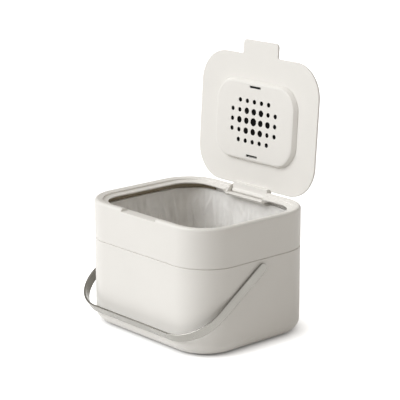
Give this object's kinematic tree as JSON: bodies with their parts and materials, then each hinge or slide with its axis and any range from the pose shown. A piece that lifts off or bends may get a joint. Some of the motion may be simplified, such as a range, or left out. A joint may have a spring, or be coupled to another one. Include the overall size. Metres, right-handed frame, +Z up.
{
  "type": "compost caddy",
  "caption": "Rounded rectangular compost caddy with a hinged lid, a vented filter cover in the lid, a lift-off collar, a liner bag and a folding steel strap handle.",
  "frame": {"origin": "centre of the base pad, on the surface that the caddy stands on", "axes": "+Z up, -Y towards the front where the lid's tab closes, +X to the right seen from the front"},
  "size_m": [0.2348, 0.219, 0.3434],
  "materials": {
    "shell": "satin, smooth off-white",
    "bush": "satin, pale grey",
    "film": "thin, creased, slightly cloudy film",
    "steel": "brushed along the strap",
    "carbon": "matt black felt",
    "foam": "matt grey"
  },
  "bodies": {
    "bucket": {"bucket": "shell", "bush_left": "bush", "bush_right": "bush", "liner_bag": "film"},
    "collar": {"collar": "shell", "hinge_pin": "steel"},
    "lid": {"lid": "shell", "clip_frame": "shell"},
    "filter_cover": {"filter_cover": "shell", "filter_pad": "carbon", "filter_gasket": "foam"},
    "handle": {"handle_strap": "steel", "stud_left": "steel", "stud_right": "steel", "stud_clip_left": "steel", "stud_clip_right": "steel"}
  },
  "joints": [
    {"name": "lid_hinge", "type": "hinge", "parent": "collar", "child": "lid", "pos_m": [0, 0.0908, 0.151], "axis": [1, 0, 0], "range_deg": [0, 93.7]},
    {"name": "collar_lift", "type": "slide", "parent": "bucket", "child": "collar", "axis": [0, 0, 1], "range_m": [0, 0.025]},
    {"name": "cover_release", "type": "slide", "parent": "lid", "child": "filter_cover", "axis": [0, -0.9979, 0.0645], "range_m": [0, 0.03]},
    {"name": "handle_swing", "type": "hinge", "parent": "bucket", "child": "handle", "pos_m": [0, 0, 0.098], "axis": [-1, 0, 0], "range_deg": [0, 129.7]}
  ]
}
